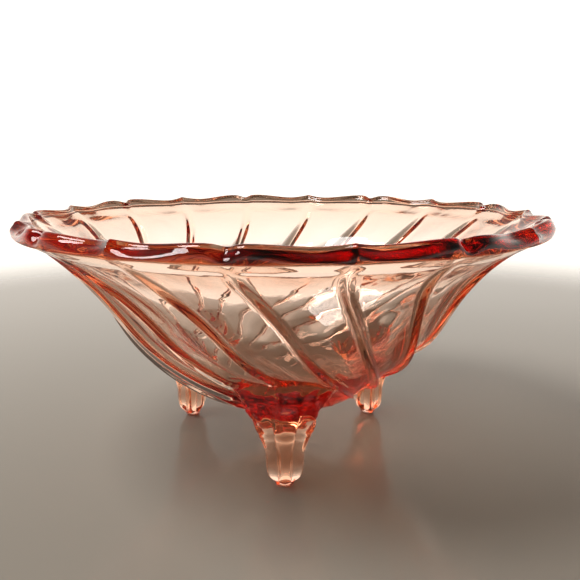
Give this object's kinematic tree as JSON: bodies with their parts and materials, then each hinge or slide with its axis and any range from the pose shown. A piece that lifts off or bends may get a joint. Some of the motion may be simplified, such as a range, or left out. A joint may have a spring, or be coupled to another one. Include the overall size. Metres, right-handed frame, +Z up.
{
  "type": "footed glass candy dish",
  "caption": "Open round candy dish of pink pressed glass with a flared, swirl-ribbed bowl, a scalloped rim bead and fluted toe feet.",
  "frame": {"origin": "on the table plane that the three toes stand on, on the bowl's axis", "axes": "+Z up along the bowl's axis; one toe points towards -Y and the other two are at 120 degrees to it"},
  "size_m": [0.142, 0.142, 0.066],
  "materials": {
    "rim_glass": "polished pressed glass, deep in the thick bead",
    "wall_glass": "polished pressed glass, pale pink",
    "base_glass": "polished pressed glass, orange where thick",
    "toe_glass": "polished pressed glass, nearly clear"
  },
  "bodies": {
    "root": {"rim": "rim_glass", "wall": "wall_glass", "base": "base_glass", "toe_front": "toe_glass", "toe_right": "toe_glass", "toe_left": "toe_glass"}
  },
  "joints": []
}
